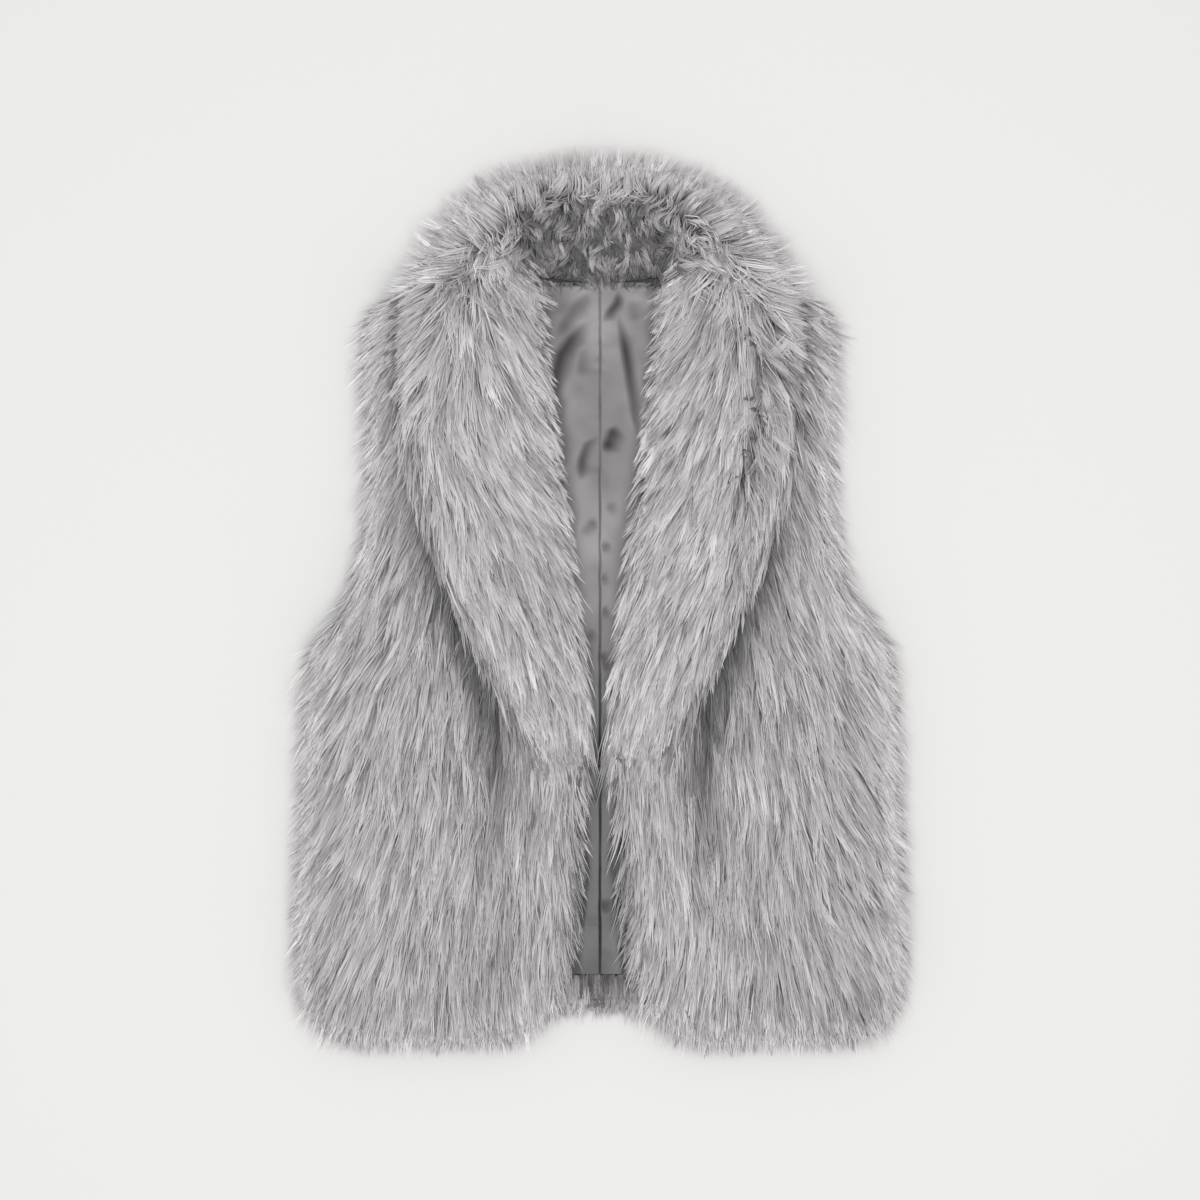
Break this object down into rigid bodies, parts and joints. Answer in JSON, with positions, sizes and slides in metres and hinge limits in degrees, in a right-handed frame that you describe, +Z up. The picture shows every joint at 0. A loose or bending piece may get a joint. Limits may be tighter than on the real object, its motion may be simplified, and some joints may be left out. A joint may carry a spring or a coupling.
{
  "type": "faux fur vest",
  "caption": "Sleeveless long-pile fur cloth vest with a wide shawl collar and satin back lining, open at the front and laid flat.",
  "frame": {"origin": "centre of the vest's box in plan, on the surface it lies on", "axes": "+Y from the hem to the collar, +X to the wearer's left, +Z up from the surface through the back and then the fronts"},
  "size_m": [0.4906, 0.71, 0.0601],
  "materials": {
    "fur_body": "long grey pile, combed down and slightly locked",
    "fur_collar": "long grey pile, fuller than the body's and lighter at its tips",
    "satin_lining": "mid-grey lining satin with soft creases"
  },
  "bodies": {
    "root": {"back_panel": "fur_body", "back_hem_facing": "fur_body", "front_left": "fur_body", "front_right": "fur_body", "collar_left": "fur_collar", "collar_right": "fur_collar", "lining_back_left": "satin_lining", "lining_back_right": "satin_lining"}
  },
  "joints": []
}
